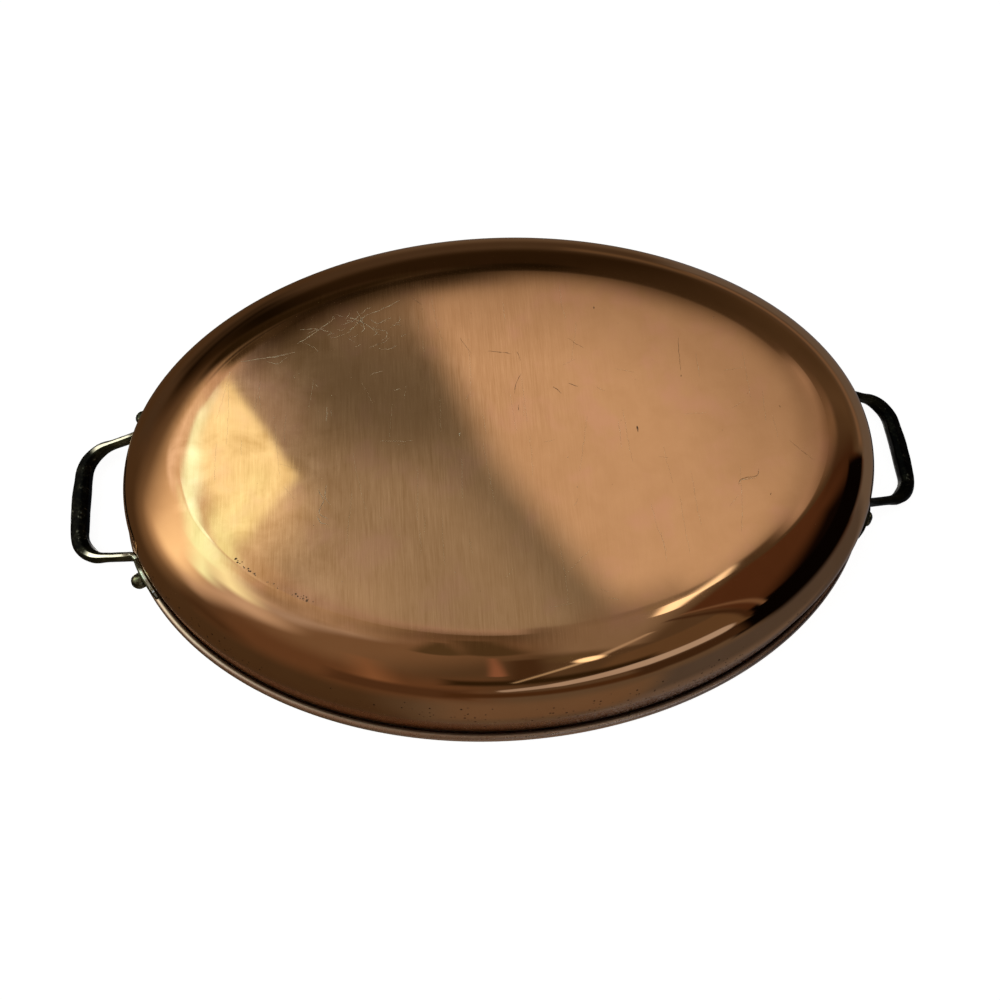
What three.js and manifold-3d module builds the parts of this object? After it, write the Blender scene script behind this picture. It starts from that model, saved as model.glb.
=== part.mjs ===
// Oval copper gratin pan with two cast brass loop handles, standing on its base.
// Units are millimetres, +Z is up. The underside of the base lies on z = 0, the long
// axis of the oval runs along X and the origin is the middle of the underside.
import * as THREE from 'three';
import { mergeVertices } from 'three/addons/utils/BufferGeometryUtils.js';
import Module from 'manifold-3d';

const wasm = await Module();
wasm.setup();

// ---------------------------------------------------------------- driving dimensions
const RIM_HALF_LENGTH = 150.0;   // outside of the rolled rim, along X
const RIM_HALF_WIDTH = 104.0;    // outside of the rolled rim, along Y
const HEIGHT = 43.0;             // underside of the base to the top of the rim
const SHEET = 1.2;               // copper sheet
const FLARE = 5.4 * Math.PI / 180;   // lean of the wall away from upright
const SHOULDER_R = 27.0;         // outer radius between base and wall
const BEAD_R = 2.2;              // outer radius of the rolled rim
const BEAD_END = 286 * Math.PI / 180;  // how far round the sheet is rolled
const GAP = 0.3;                 // clearance between separate pieces
const LINING = 0.4;              // thickness of the tinned layer
const LINING_TOP_DROP = 2.6;     // the lining ends this far below the top of the rim

const ROOT_Y = 25.1;             // half spacing of the handle legs at the wall
const ROOT_DROP = 10.5;          // leg and foot centre below the top of the rim
const GRIP_X = 166.4;            // centre line of the grip bar from the middle
const GRIP_DROP = 3.0;           // grip centre below the top of the rim
const GRIP_BOW = 1.0;            // the grip bar bows outwards this much
const CORNER_Y = 21.7;           // half spacing of the corners of the loop
const CORNER_R = 10.8;           // centre line radius at the corners
const ROOT_R = 3.6;              // centre line radius where leg turns into foot
const FOOT_TIP_Y = { long: 41.6, short: 39.0 };   // y where each of the two feet ends
const FOOT_T = 2.2;              // thickness of the foot plate
const FOOT_H = 11.4;             // height of the foot plate at the rivet
const LEG_W = 3.2, LEG_H = 4.6;  // section of a leg, across and up
const GRIP_W = 7.3, GRIP_H = 5.8;  // section of the grip bar

const RIVET_Y = { long: 33.0, short: 30.4 };   // y of the rivet in each of the two feet
const SHANK_R = 2.2;             // rivet shank radius
const HEAD_R = 3.1, HEAD_H = 3.9;      // round head outside
const INNER_R = 4.2, INNER_H = 1.3;    // low head inside the pan

const AROUND = 64;               // facets round the oval

// ---------------------------------------------------------------- the oval
// A point is given by an angle, an offset inwards from the outside of the rim, and z.
const ovalNormal = (phi) => {
  const nx = Math.cos(phi) / RIM_HALF_LENGTH, ny = Math.sin(phi) / RIM_HALF_WIDTH;
  const l = Math.hypot(nx, ny);
  return [nx / l, ny / l];
};
const ovalPoint = (phi, inset) => {
  const [nx, ny] = ovalNormal(phi);
  return [RIM_HALF_LENGTH * Math.cos(phi) - nx * inset, RIM_HALF_WIDTH * Math.sin(phi) - ny * inset];
};
const phiAtY = (y, inset) => {   // angle in the +X half where the inset oval has this y
  let lo = -Math.PI / 2, hi = Math.PI / 2;
  for (let i = 0; i < 60; i++) {
    const mid = (lo + hi) / 2;
    if (ovalPoint(mid, inset)[1] < y) lo = mid; else hi = mid;
  }
  return (lo + hi) / 2;
};

// ---------------------------------------------------------------- solids
const solidOf = (geometry) => {
  const g = geometry.clone();
  for (const name of Object.keys(g.attributes)) if (name !== 'position') g.deleteAttribute(name);
  const m = mergeVertices(g, 1e-4);
  const p = m.attributes.position.array, idx = m.index.array, tri = [];
  for (let i = 0; i < idx.length; i += 3) {
    const [a, b, c] = [idx[i], idx[i + 1], idx[i + 2]];
    if (a !== b && b !== c && c !== a) tri.push(a, b, c);
  }
  let volume = 0;
  for (let i = 0; i < tri.length; i += 3) {
    const [a, b, c] = [tri[i] * 3, tri[i + 1] * 3, tri[i + 2] * 3];
    volume += p[a] * (p[b + 1] * p[c + 2] - p[b + 2] * p[c + 1])
      - p[a + 1] * (p[b] * p[c + 2] - p[b + 2] * p[c])
      + p[a + 2] * (p[b] * p[c + 1] - p[b + 1] * p[c]);
  }
  if (volume < 0) for (let i = 0; i < tri.length; i += 3) [tri[i + 1], tri[i + 2]] = [tri[i + 2], tri[i + 1]];
  return new wasm.Manifold(new wasm.Mesh({
    numProp: 3, vertProperties: new Float32Array(p), triVerts: new Uint32Array(tri),
  }));
};
const geometryOf = (solid) => {
  const mesh = solid.getMesh();
  const g = new THREE.BufferGeometry();
  g.setAttribute('position', new THREE.BufferAttribute(new Float32Array(mesh.vertProperties), 3));
  g.setIndex(new THREE.BufferAttribute(new Uint32Array(mesh.triVerts), 1));
  g.computeVertexNormals();
  return g;
};

// Turns a profile of [inset, z] points, where inset null means the axis, round the oval:
// a lathe whose circles are pulled out to parallel curves of the rim.
const ovalLathe = (profile) => {
  const reference = RIM_HALF_LENGTH;
  const flatInset = Math.max(...profile.filter((p) => p[0] !== null).map((p) => p[0]));
  const g = new THREE.LatheGeometry(
    profile.map(([inset, z]) => new THREE.Vector2(inset === null ? 0 : reference - inset, z)), AROUND);
  g.rotateX(Math.PI / 2);
  const pos = g.attributes.position;
  for (let i = 0; i < pos.count; i++) {
    const x = pos.getX(i), y = pos.getY(i), r = Math.hypot(x, y);
    if (r < 1e-6) { pos.setXY(i, 0, 0); continue; }
    const [px, py] = ovalPoint(Math.atan2(y, x), Math.min(reference - r, flatInset));
    pos.setXY(i, px, py);
  }
  return g;
};

// ---------------------------------------------------------------- profiles of the pan
const sin = Math.sin(FLARE), cos = Math.cos(FLARE);
const beadInset = BEAD_R, beadZ = HEIGHT - BEAD_R;
const beadPoint = (r, a) => [beadInset + r * Math.cos(a), beadZ + r * Math.sin(a)];
const wallTopOuter = beadPoint(BEAD_R - SHEET, FLARE);
// inset of the outside of the wall at a height z
const wallInset = (z) => wallTopOuter[0] + (wallTopOuter[1] - z) * Math.tan(FLARE);
const wallFootZ = SHOULDER_R * (1 - sin);
const shoulderInset = wallInset(wallFootZ) + SHOULDER_R * cos;   // where base meets shoulder

// one face of the sheet, d inwards of the outside, from the axis up to the wall's top
const faceOf = (d, steps) => {
  const r = SHOULDER_R - d, points = [[null, d]];
  for (let i = 0; i <= steps; i++) {
    const a = Math.PI / 2 + (FLARE - Math.PI / 2) * (i / steps);
    points.push([shoulderInset - r * Math.cos(a), SHOULDER_R - r * Math.sin(a)]);
  }
  return points;
};
// i = 0 gives a = 90 degrees: straight below the shoulder's centre
const topOf = (d, z) => [wallInset(z) + d / cos, z];

const arc = (r, from, to, steps) => Array.from({ length: steps + 1 },
  (_, i) => beadPoint(r, from + (to - from) * (i / steps)));

const shellProfile = [
  ...faceOf(0, 8),
  ...arc(BEAD_R - SHEET, FLARE, BEAD_END, 7),
  ...arc(BEAD_R, BEAD_END, FLARE, 10),
  ...faceOf(SHEET, 7).reverse(),
];
const liningOut = SHEET + GAP, liningIn = SHEET + GAP + LINING;
const liningTop = HEIGHT - LINING_TOP_DROP;
const liningProfile = [
  ...faceOf(liningOut, 6), topOf(liningOut, liningTop),
  topOf(liningIn, liningTop), ...faceOf(liningIn, 6).reverse(),
];

// ---------------------------------------------------------------- rivets
const rivetZ = HEIGHT - ROOT_DROP;
// the two handles are the same casting turned half round, so their long feet lie diagonally
const footKind = (sx, sy) => (sx * sy < 0 ? 'long' : 'short');
// the matrix that stands +Y on the outside of the wall at a rivet, pointing outwards
const rivetMatrix = (sx, sy) => {
  const rivetPhi = phiAtY(RIVET_Y[footKind(sx, sy)], wallInset(rivetZ));
  const [nx, ny] = ovalNormal(rivetPhi);
  const [px, py] = ovalPoint(rivetPhi, wallInset(rivetZ));
  const n = new THREE.Vector3(sx * nx * cos, sy * ny * cos, -sin).normalize();
  const q = new THREE.Quaternion().setFromUnitVectors(new THREE.Vector3(0, 1, 0), n);
  return new THREE.Matrix4().compose(new THREE.Vector3(sx * px, sy * py, rivetZ), q, new THREE.Vector3(1, 1, 1));
};
const headSeat = GAP + FOOT_T + GAP;                       // underside of the outer head
const innerSeat = -(SHEET + GAP + LINING + GAP);           // underside of the inner head
const rivetGeometry = () => {
  const points = [new THREE.Vector2(0, innerSeat - INNER_H)];
  for (let i = 1; i <= 3; i++) {
    const a = (i / 3) * Math.PI / 2;
    points.push(new THREE.Vector2(INNER_R * Math.sin(a), innerSeat - INNER_H * (0.25 + 0.75 * Math.cos(a))));
  }
  points.push(new THREE.Vector2(INNER_R, innerSeat), new THREE.Vector2(SHANK_R, innerSeat),
    new THREE.Vector2(SHANK_R, headSeat), new THREE.Vector2(HEAD_R, headSeat));
  for (let i = 5; i >= 1; i--) {
    const a = (i / 5) * Math.PI / 2, neck = HEAD_H - HEAD_R;
    points.push(new THREE.Vector2(HEAD_R * Math.sin(a), headSeat + neck + HEAD_R * Math.cos(a)));
  }
  points.push(new THREE.Vector2(0, headSeat + HEAD_H));
  return new THREE.LatheGeometry(points, 16);
};
const rivetHoles = (sx) => {
  let holes = null;
  for (const side of sx) for (const sy of [1, -1]) {
    const c = new THREE.CylinderGeometry(SHANK_R + GAP, SHANK_R + GAP, 16, 16);
    c.applyMatrix4(rivetMatrix(side, sy));
    holes = holes ? holes.add(solidOf(c)) : solidOf(c);
  }
  return holes;
};

// ---------------------------------------------------------------- handles
// The centre line runs from the tip of one foot along the wall, out along a leg, round the
// loop and back. Each step of it is { p, up, w, h, e }: place, the direction of the
// section's height, its width and height, and how square the section is.
const halfSteps = (footTipY) => {
  const footInset = wallInset(HEIGHT - ROOT_DROP) - GAP - FOOT_T / 2;
  const tipPhi = phiAtY(footTipY, footInset);
  const rootPhi = phiAtY(ROOT_Y, footInset);
  const root = new THREE.Vector2(...ovalPoint(rootPhi, footInset));
  const corner = new THREE.Vector2(GRIP_X, CORNER_Y);
  const along = new THREE.Vector2(...ovalPoint(rootPhi - 0.01, footInset)).sub(root).normalize();
  const leg = corner.clone().sub(root).normalize();
  const fillet = (vertex, din, dout, r, steps) => {
    const turn = Math.acos(din.dot(dout)), back = r * Math.tan(turn / 2);
    const start = vertex.clone().addScaledVector(din, -back);
    const side = Math.sign(din.x * dout.y - din.y * dout.x);
    const centre = start.clone().add(new THREE.Vector2(-din.y, din.x).multiplyScalar(side * r));
    return Array.from({ length: steps + 1 }, (_, i) =>
      start.clone().rotateAround(centre, side * turn * (i / steps)));
  };
  const flat = [];                                  // plan view, first half, tagged by stretch
  const bend = fillet(root, along, leg, ROOT_R, 6);
  const lastPhi = phiAtY(bend[0].y + 0.6, footInset);
  for (let i = 0; i <= 11; i++) {
    const t = i / 11, k = t < 0.5 ? 2 * t * t : 1 - 2 * (1 - t) * (1 - t);
    const phi = tipPhi + (lastPhi - tipPhi) * (0.35 * k + 0.65 * t);
    flat.push([new THREE.Vector2(...ovalPoint(phi, footInset)), 'foot']);
  }
  for (const p of bend) flat.push([p, 'bend']);
  const loop = fillet(corner, leg, new THREE.Vector2(0, -1), CORNER_R, 8);
  for (let i = 1; i <= 3; i++) flat.push([bend[6].clone().lerp(loop[0], i / 4), 'leg']);
  for (const p of loop) flat.push([p, 'loop']);
  const endY = loop[loop.length - 1].y;
  for (let i = 1; i <= 3; i++) flat.push([new THREE.Vector2(GRIP_X, endY * (1 - i / 3)), 'grip']);

  const rise = (ROOT_DROP - GRIP_DROP) / (GRIP_X - root.x);
  const smooth = (t) => { const u = Math.min(1, Math.max(0, t)); return u * u * (3 - 2 * u); };
  const mix = (a, b, t) => a + (b - a) * t;
  const footLength = footTipY - ROOT_Y, half = [];
  for (const [p, part] of flat) {
    const drop = ROOT_DROP - Math.max(0, p.x - root.x) * rise * (part === 'foot' ? 0 : 1);
    const bow = GRIP_BOW * (1 - Math.pow(Math.min(1, Math.abs(p.y) / CORNER_Y), 2))
      * smooth((p.x - (GRIP_X - 6)) / 5);
    const phi = phiAtY(Math.min(footTipY, p.y), footInset);
    const [nx, ny] = ovalNormal(phi);
    const wallUp = new THREE.Vector3(nx * sin, ny * sin, cos);
    const loopUp = new THREE.Vector3(-rise, 0, 1).normalize();
    const turned = part === 'foot' ? 0 : smooth((p.x - bend[0].x) / (bend[6].x - bend[0].x + 2));
    const up = wallUp.lerp(loopUp, turned).normalize();
    let w, h, e;
    if (part === 'foot') {
      const s = footTipY - p.y;                     // from the tip
      const round = Math.sqrt(Math.max(0, 1 - Math.pow(Math.max(0, 1 - s / (FOOT_H * 0.55)), 2)));
      h = Math.max(2.4, FOOT_H * round) * mix(1, 0.58, smooth((s - 8.5) / (footLength - 8)));
      w = FOOT_T * mix(0.8, 1, smooth(s / 2)); e = 5;
    } else {
      const t = smooth((p.x - bend[0].x) / 6);
      h = mix(FOOT_H * 0.58, LEG_H, t); w = mix(FOOT_T, LEG_W, t); e = mix(5, 2.6, t);
      const g = smooth((p.x - (GRIP_X - 12)) / 11);
      w = mix(w, GRIP_W * 0.86, g); h = mix(h, GRIP_H, g);
      const c = 1 - smooth(Math.abs(p.y) / CORNER_Y);
      w += GRIP_W * 0.14 * c * g;
    }
    half.push({ p: new THREE.Vector3(p.x + bow, p.y, HEIGHT - drop), up, w, h, e });
  }
  return half;
};
const handleSteps = () => {
  const mirrored = halfSteps(FOOT_TIP_Y.long).slice(0, -1).reverse().map((s) => ({
    ...s, p: new THREE.Vector3(s.p.x, -s.p.y, s.p.z), up: new THREE.Vector3(s.up.x, -s.up.y, s.up.z),
  }));
  return [...halfSteps(FOOT_TIP_Y.short), ...mirrored];
};

// A closed skin through a section of 12 points at every step, with flat ends.
const loft = (steps, sides = 12) => {
  const vertices = [], index = [], n = steps.length;
  steps.forEach((s, i) => {
    const t = steps[Math.min(n - 1, i + 1)].p.clone().sub(steps[Math.max(0, i - 1)].p).normalize();
    const across = new THREE.Vector3().crossVectors(t, s.up).normalize();
    const up = new THREE.Vector3().crossVectors(across, t).normalize();
    for (let k = 0; k < sides; k++) {
      const a = ((k + 0.5) / sides) * 2 * Math.PI, c = Math.cos(a), d = Math.sin(a);
      const q = s.p.clone()
        .addScaledVector(across, Math.sign(c) * Math.pow(Math.abs(c), 2 / s.e) * s.w / 2)
        .addScaledVector(up, Math.sign(d) * Math.pow(Math.abs(d), 2 / s.e) * s.h / 2);
      vertices.push(q.x, q.y, q.z);
    }
  });
  for (let i = 0; i < n - 1; i++) for (let k = 0; k < sides; k++) {
    const a = i * sides + k, b = i * sides + (k + 1) % sides, c = a + sides, d = b + sides;
    index.push(a, b, d, a, d, c);
  }
  for (const [i, flip] of [[0, true], [n - 1, false]]) {
    const centre = vertices.length / 3, s = steps[i].p;
    vertices.push(s.x, s.y, s.z);
    for (let k = 0; k < sides; k++) {
      const a = i * sides + k, b = i * sides + (k + 1) % sides;
      index.push(...(flip ? [centre, b, a] : [centre, a, b]));
    }
  }
  const g = new THREE.BufferGeometry();
  g.setAttribute('position', new THREE.BufferAttribute(new Float32Array(vertices), 3));
  g.setIndex(index);
  return g;
};

// ---------------------------------------------------------------- the pan
const copper = new THREE.MeshStandardMaterial({ color: 0xb87048, roughness: 0.28, metalness: 1.0 });
const tin = new THREE.MeshStandardMaterial({ color: 0xb9b6ae, roughness: 0.38, metalness: 1.0 });
const brass = new THREE.MeshStandardMaterial({ color: 0x3f3a28, roughness: 0.45, metalness: 1.0 });
const rivetMetal = new THREE.MeshStandardMaterial({ color: 0x4a4530, roughness: 0.45, metalness: 1.0 });

const pan = new THREE.Group();
const addPiece = (name, geometry, material) => {
  const mesh = new THREE.Mesh(geometry, material);
  mesh.name = name;
  pan.add(mesh);
  return mesh;
};

const allHoles = rivetHoles([1, -1]);
addPiece('copper_shell', geometryOf(solidOf(ovalLathe(shellProfile)).subtract(allHoles)), copper);
addPiece('tin_lining', geometryOf(solidOf(ovalLathe(liningProfile)).subtract(allHoles)), tin);

const handle = solidOf(loft(handleSteps())).subtract(rivetHoles([1]));
const right = geometryOf(handle);
const left = right.clone().rotateZ(Math.PI);
addPiece('left_handle', left, brass);
addPiece('right_handle', right, brass);

for (const [sx, side] of [[-1, 'left'], [1, 'right']]) for (const [sy, end] of [[1, 'near'], [-1, 'far']]) {
  const rivet = addPiece(`${side}_${end}_rivet`, geometryOf(solidOf(rivetGeometry())), rivetMetal);
  rivet.applyMatrix4(rivetMatrix(sx, sy));
}

export default pan;
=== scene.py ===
import bpy
import math
import numpy as np
from mathutils import Matrix, Vector
from mathutils import noise as mnoise


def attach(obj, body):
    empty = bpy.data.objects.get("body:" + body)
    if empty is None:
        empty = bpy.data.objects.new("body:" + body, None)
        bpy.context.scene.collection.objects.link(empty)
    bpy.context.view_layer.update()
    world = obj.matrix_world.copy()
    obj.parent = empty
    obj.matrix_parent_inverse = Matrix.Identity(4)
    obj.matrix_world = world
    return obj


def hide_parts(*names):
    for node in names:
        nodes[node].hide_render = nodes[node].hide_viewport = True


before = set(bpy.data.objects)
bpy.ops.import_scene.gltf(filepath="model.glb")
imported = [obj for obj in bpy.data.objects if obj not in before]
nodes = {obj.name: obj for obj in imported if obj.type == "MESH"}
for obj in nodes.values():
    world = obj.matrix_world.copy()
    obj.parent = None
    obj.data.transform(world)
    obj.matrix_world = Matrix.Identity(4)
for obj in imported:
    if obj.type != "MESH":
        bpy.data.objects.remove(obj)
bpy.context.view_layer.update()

# ============================================================ dimensions, mm, as in the CAD
A, B, HEIGHT = 150.0, 104.0, 43.0
SHEET = 1.2
FLARE = math.radians(5.4)
SHOULDER_R = 27.0
BEAD_R = 2.2
BEAD_END = math.radians(286)
GAP = 0.3
LINING = 0.4
LINING_TOP_DROP = 2.6
ROOT_Y, ROOT_DROP = 25.1, 10.5
GRIP_X, GRIP_DROP, GRIP_BOW = 166.4, 3.0, 1.0
CORNER_Y, CORNER_R, ROOT_R = 21.7, 10.8, 3.6
FOOT_TIP_Y, FOOT_T, FOOT_H = {"long": 41.6, "short": 39.0}, 2.2, 11.4
LEG_W, LEG_H, GRIP_W, GRIP_H = 3.2, 4.6, 7.3, 5.8
RIVET_Y = {"long": 33.0, "short": 30.4}
SHANK_R, HEAD_R, HEAD_H, INNER_R, INNER_H = 2.2, 3.1, 3.9, 4.2, 1.3

SIN, COS, TAN = math.sin(FLARE), math.cos(FLARE), math.tan(FLARE)
WALL_TOP = (BEAD_R + (BEAD_R - SHEET) * COS, HEIGHT - BEAD_R + (BEAD_R - SHEET) * SIN)


def wall_inset(z):
    return WALL_TOP[0] + (WALL_TOP[1] - z) * TAN


WALL_FOOT_Z = SHOULDER_R * (1 - SIN)
SHOULDER_INSET = wall_inset(WALL_FOOT_Z) + SHOULDER_R * COS


def oval_normal(phi):
    nx, ny = np.cos(phi) / A, np.sin(phi) / B
    l = np.hypot(nx, ny)
    return nx / l, ny / l


def oval_point(phi, inset):
    nx, ny = oval_normal(phi)
    return A * np.cos(phi) - nx * inset, B * np.sin(phi) - ny * inset


def phi_at_y(y, inset):
    lo, hi = -math.pi / 2, math.pi / 2
    for _ in range(60):
        mid = (lo + hi) / 2
        if oval_point(mid, inset)[1] < y:
            lo = mid
        else:
            hi = mid
    return (lo + hi) / 2


# ============================================================ mesh helpers
def new_mesh(name, verts, faces, mats=(), mat_index=None, smooth=True, sharp=None):
    me = bpy.data.meshes.new(name)
    me.from_pydata([tuple(v) for v in np.asarray(verts) * 0.001], [], faces)
    me.validate()
    for m in mats:
        me.materials.append(m)
    if mat_index is not None:
        me.polygons.foreach_set("material_index", np.asarray(mat_index, np.int32))
    me.polygons.foreach_set("use_smooth", [smooth] * len(me.polygons))
    if sharp is not None:
        me.set_sharp_from_angle(angle=math.radians(sharp))
    me.update()
    ob = bpy.data.objects.new(name, me)
    bpy.context.scene.collection.objects.link(ob)
    return ob


def point_attr(ob, name, values):
    at = ob.data.attributes.new(name, "FLOAT", "POINT")
    at.data.foreach_set("value", np.asarray(values, np.float32))


def lathe_oval(profile, around, closed_on_axis=True):
    """profile: (inset or None on the axis, z). Rows scaled to the middle carry a share 'k'."""
    verts, faces, row_start = [], [], []
    phi = np.linspace(0, 2 * math.pi, around, endpoint=False)
    for p in profile:
        row_start.append(len(verts))
        if p[0] is None:
            verts.append((0.0, 0.0, p[1]))
        else:
            k = p[2] if len(p) > 2 else 1.0
            x, y = oval_point(phi, p[0])
            verts.extend(zip(x * k, y * k, np.full(around, p[1])))
    for i in range(len(profile) - 1):
        a, b = row_start[i], row_start[i + 1]
        pa, pb = profile[i][0] is None, profile[i + 1][0] is None
        for j in range(around):
            j2 = (j + 1) % around
            if pa and pb:
                continue
            if pa:
                faces.append((a, b + j2, b + j))
            elif pb:
                faces.append((a + j, a + j2, b))
            else:
                faces.append((a + j, a + j2, b + j2, b + j))
    return verts, faces, row_start


# ============================================================ the pan body
AROUND = 360


def face_rows(d, steps, flat):
    """One face of the sheet, d inwards: the flat part in rings, then the shoulder's arc."""
    r = SHOULDER_R - d
    rows = [(None, d)] + [(SHOULDER_INSET, d, k) for k in flat]
    for i in range(steps + 1):
        a = math.pi / 2 + (FLARE - math.pi / 2) * (i / steps)
        rows.append((SHOULDER_INSET - r * math.cos(a), SHOULDER_R - r * math.sin(a)))
    return rows


def wall_rows(d, z_top, steps):
    z0 = SHOULDER_R - (SHOULDER_R - d) * SIN
    return [(wall_inset(z) + d / COS, z) for z in np.linspace(z0, z_top, steps + 1)[1:]]


def bead_point(r, a):
    return (BEAD_R + r * math.cos(a), HEIGHT - BEAD_R + r * math.sin(a))


FLAT = (0.12, 0.25, 0.4, 0.55, 0.7, 0.82, 0.91, 0.97)


def shell_rows():
    rows = face_rows(0.0, 44, FLAT)
    rows += wall_rows(0.0, WALL_TOP[1] - 0.4, 12)
    r_in, r_out = BEAD_R - SHEET, BEAD_R
    rows += [bead_point(r_in, a) for a in np.linspace(FLARE, BEAD_END, 22)]
    # the rolled edge itself is a little rounded
    mid, half = (r_in + r_out) / 2, SHEET / 2
    for t in np.linspace(-math.pi / 2, math.pi / 2, 7)[1:-1]:
        c, s = math.cos(t), math.sin(t)
        bx, bz = bead_point(mid + half * s, BEAD_END)
        rows.append((bx - math.sin(BEAD_END) * half * 0.35 * c, bz + math.cos(BEAD_END) * half * 0.35 * c))
    rows += [bead_point(r_out, a) for a in np.linspace(BEAD_END, FLARE, 34)]
    inner = face_rows(SHEET, 24, FLAT[::2])
    inner += wall_rows(SHEET, WALL_TOP[1] - 0.6, 6)
    rows += inner[::-1]
    return rows


def ease(t):
    t = min(1.0, max(0.0, t))
    return t * t * (3 - 2 * t)


def mix(a, b, t):
    return a + (b - a) * t


# Wear on the outside of the base, drawn as very thin flakes on the sheet: a path in mm and
# the widest width. Pale ones are scratches, dark ones nicks and old dirt.
PALE_MARKS = [
    (((-97.3, -37.0), (-89.3, -37.8), (-82.8, -38.5), (-77.6, -39.6)), 0.30),
    (((-76.7, -43.0), (-71.3, -46.4), (-66.5, -50.2), (-62.2, -53.4)), 0.28),
    (((-75.4, -49.0), (-69.1, -48.9), (-63.8, -46.9)), 0.20),
    (((-88.0, -36.5), (-84.0, -35.2), (-80.5, -37.5)), 0.20),
    (((-58.2, -46.1), (-54.4, -50.1), (-50.8, -53.6), (-45.3, -55.5)), 0.34),
    (((-57.3, -53.3), (-52.4, -50.9), (-48.1, -47.2), (-46.1, -44.7)), 0.28),
    (((-53.9, -55.7), (-51.6, -49.0), (-52.5, -46.4)), 0.26),
    (((-60.0, -50.5), (-56.0, -51.5), (-52.0, -55.0), (-48.5, -57.5)), 0.22),
    (((-49.5, -52.0), (-46.5, -50.0), (-43.5, -50.5)), 0.22),
    (((-45.3, -55.5), (-41.2, -57.7), (-37.7, -59.6)), 0.22),
    (((-50.0, -39.6), (-46.3, -41.3)), 0.26),
    (((-66.4, -16.3), (-66.5, -13.7), (-66.6, -10.4)), 0.34),
    (((-65.2, -15.0), (-65.0, -12.5)), 0.22),
    (((-50.2, -28.4), (-45.6, -29.9)), 0.18),
    (((-42.2, -21.6), (-39.5, -22.1)), 0.20),
    (((-70.2, 15.4), (-68.6, 20.0), (-70.2, 23.9), (-67.2, 26.9)), 0.26),
    (((-67.4, 14.0), (-68.0, 18.0), (-66.2, 21.5)), 0.22),
    (((-71.0, 25.0), (-69.6, 28.0), (-67.0, 28.6)), 0.24),
    (((-47.9, -1.5), (-41.9, -1.1), (-35.9, -0.7)), 0.16),
    (((-18.9, -2.9), (-19.3, -1.5)), 0.34),
    (((-70.1, -25.9), (-69.7, -24.6)), 0.50),
    (((-78.3, -29.8), (-77.7, -28.8)), 0.40),
    (((80.0, 24.9), (81.7, 22.9), (86.9, 22.4), (88.7, 19.6)), 0.16),
]
DARK_MARKS = [
    (((46.4, -1.0), (46.3, 1.5)), 0.85),
    (((67.7, -36.9), (66.9, -29.0), (66.3, -22.6)), 0.20),
    (((66.1, -20.9), (66.0, -20.0)), 0.60),
    (((37.2, -52.4), (36.9, -51.3)), 0.75),
    (((-5.8, -35.5), (-1.3, -34.8), (2.9, -33.8)), 0.26),
    (((5.1, -34.7), (6.0, -30.9)), 0.28),
    (((5.7, -25.4), (3.4, -21.0), (2.3, -17.3)), 0.24),
    (((17.2, -19.2), (19.7, -16.0)), 0.34),
    (((22.9, -20.2), (26.4, -18.5)), 0.28),
    (((3.4, -12.6), (3.2, -9.9)), 0.30),
    (((25.1, -39.1), (30.5, -34.5)), 0.14),
    (((-15.8, -41.9), (-12.3, -34.9)), 0.16),
    (((80.0, 24.3), (81.7, 22.3), (86.9, 21.8), (88.7, 19.0)), 0.26),
    (((83.2, -45.4), (82.8, -44.4)), 0.45),
    (((101.4, -5.7), (101.6, -4.8)), 0.35),
    (((91.4, 28.7), (90.8, 29.4)), 0.35),
    (((102.4, 8.5), (105.7, 12.7), (110.0, 17.2)), 0.14),
    (((-33.0, -60.5), (-29.5, -57.0)), 0.18),
]
DIRT_TRAILS = [((-99.0, 38.6), (-95.1, 43.0), (-91.0, 46.6)), ((-89.7, 47.6), (-85.1, 50.2), (-80.5, 52.6), (-74.0, 55.2))]
FLAKE_Z = -0.012


def noise3(v):
    """Three smooth noises, the same in every run."""
    return Vector((mnoise.noise(v + Vector((9.3, -1.5, -7.9))),
                   mnoise.noise(v + Vector((-4.1, 6.7, 2.2))),
                   mnoise.noise(v + Vector((3.3, -8.8, 5.6)))))


def smooth_path(path, step=0.8):
    """A Catmull-Rom curve through the points, cut into short pieces."""
    pts = [np.array(p, float) for p in path]
    pts = [2 * pts[0] - pts[1]] + pts + [2 * pts[-1] - pts[-2]]
    out = []
    for i in range(1, len(pts) - 2):
        p0, p1, p2, p3 = pts[i - 1:i + 3]
        n = max(2, int(np.linalg.norm(p2 - p1) / step))
        for j in range(n):
            t = j / n
            out.append(0.5 * (2 * p1 + (p2 - p0) * t + (2 * p0 - 5 * p1 + 4 * p2 - p3) * t * t
                              + (3 * p1 - p0 - 3 * p2 + p3) * t ** 3))
    return out + [pts[-2]]


def flake_strip(path, width, seed, verts, faces):
    """A thin tapered strip that wavers and thins out here and there."""
    pts, n = smooth_path(path), 0
    n, base = len(pts), len(verts)
    for i, p in enumerate(pts):
        d = pts[min(n - 1, i + 1)] - pts[max(0, i - 1)]
        side = np.array([-d[1], d[0]]) / max(1e-6, np.linalg.norm(d))
        q = Vector((p[0] * 0.7, p[1] * 0.7, seed))
        waver = mnoise.noise(q * 0.8) * 0.35
        t = i / (n - 1)
        w = width * (0.35 + 0.65 * math.sin(math.pi * t) ** 0.5) * (0.62 + 0.75 * mnoise.noise(q * 1.7)) / 2
        w = max(0.02, w)
        for k in (-1, 1):
            v = p + side * (waver + k * w)
            verts.append((v[0], v[1], FLAKE_Z))
    for i in range(n - 1):
        a = base + 2 * i
        faces.append((a, a + 1, a + 3, a + 2))


def flake_dot(x, y, r, rng, verts, faces):
    base, n = len(verts), 7
    for j in range(n):
        a, k = 2 * math.pi * j / n, r * rng.uniform(0.6, 1.25)
        verts.append((x + k * math.cos(a), y + k * math.sin(a), FLAKE_Z))
    faces.append(tuple(range(base, base + n)))


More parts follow.
